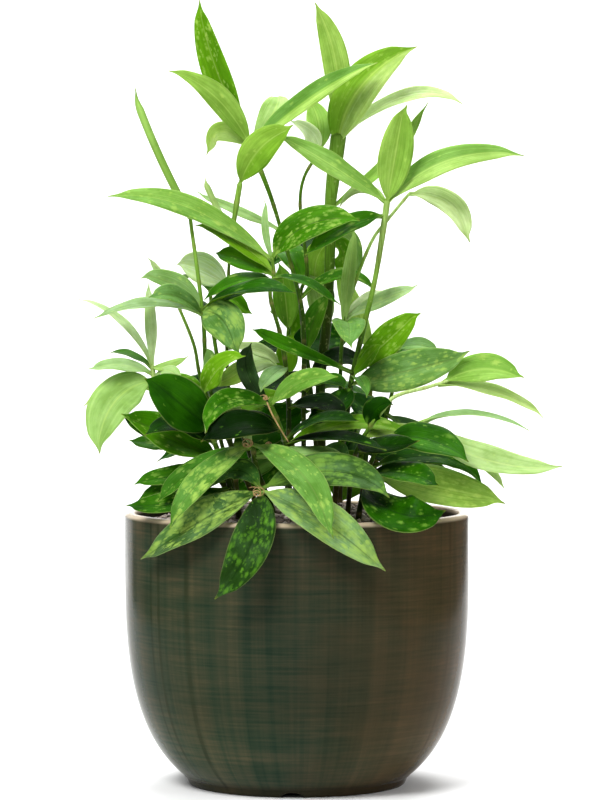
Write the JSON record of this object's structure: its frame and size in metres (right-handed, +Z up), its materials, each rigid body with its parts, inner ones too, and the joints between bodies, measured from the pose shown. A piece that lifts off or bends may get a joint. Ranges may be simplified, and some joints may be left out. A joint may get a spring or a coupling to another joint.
{
  "type": "potted gold dust dracaena",
  "caption": "Clump of slim leafy shoots with pointed, pale-spotted leaves, standing in planting mix in a round glazed ceramic pot with an upright wall and a small foot.",
  "frame": {"origin": "middle of the foot's flat underside, on the pot's axis", "axes": "+Z up along the pot's axis, -Y towards the front of the plant, +X to the right seen from the front"},
  "size_m": [0.283, 0.2322, 0.4696],
  "materials": {
    "glaze": "glossy dark green-brown glaze with fine brushed streaks",
    "planting_mix": "loose mineral granules, white, grey and dark",
    "foliage": "satin green leaves with pale yellow-green spots"
  },
  "bodies": {
    "root": {"pot": "glaze", "substrate": "planting_mix", "shoot_front_upper": "foliage", "shoot_front_lower": "foliage", "shoot_left_low": "foliage", "shoot_left_bottom": "foliage", "shoot_left_slim": "foliage", "shoot_left_tall": "foliage", "shoot_centre_left": "foliage", "shoot_top_left": "foliage", "shoot_centre_slim": "foliage", "shoot_top_right": "foliage", "shoot_right_tall": "foliage", "shoot_right_arching": "foliage", "shoot_centre_broad": "foliage", "shoot_middle_low": "foliage", "shoot_right_low": "foliage", "shoot_right_bottom": "foliage", "shoot_right_hidden": "foliage", "shoot_back_left": "foliage", "shoot_back_middle": "foliage", "shoot_back_right": "foliage"}
  },
  "joints": []
}
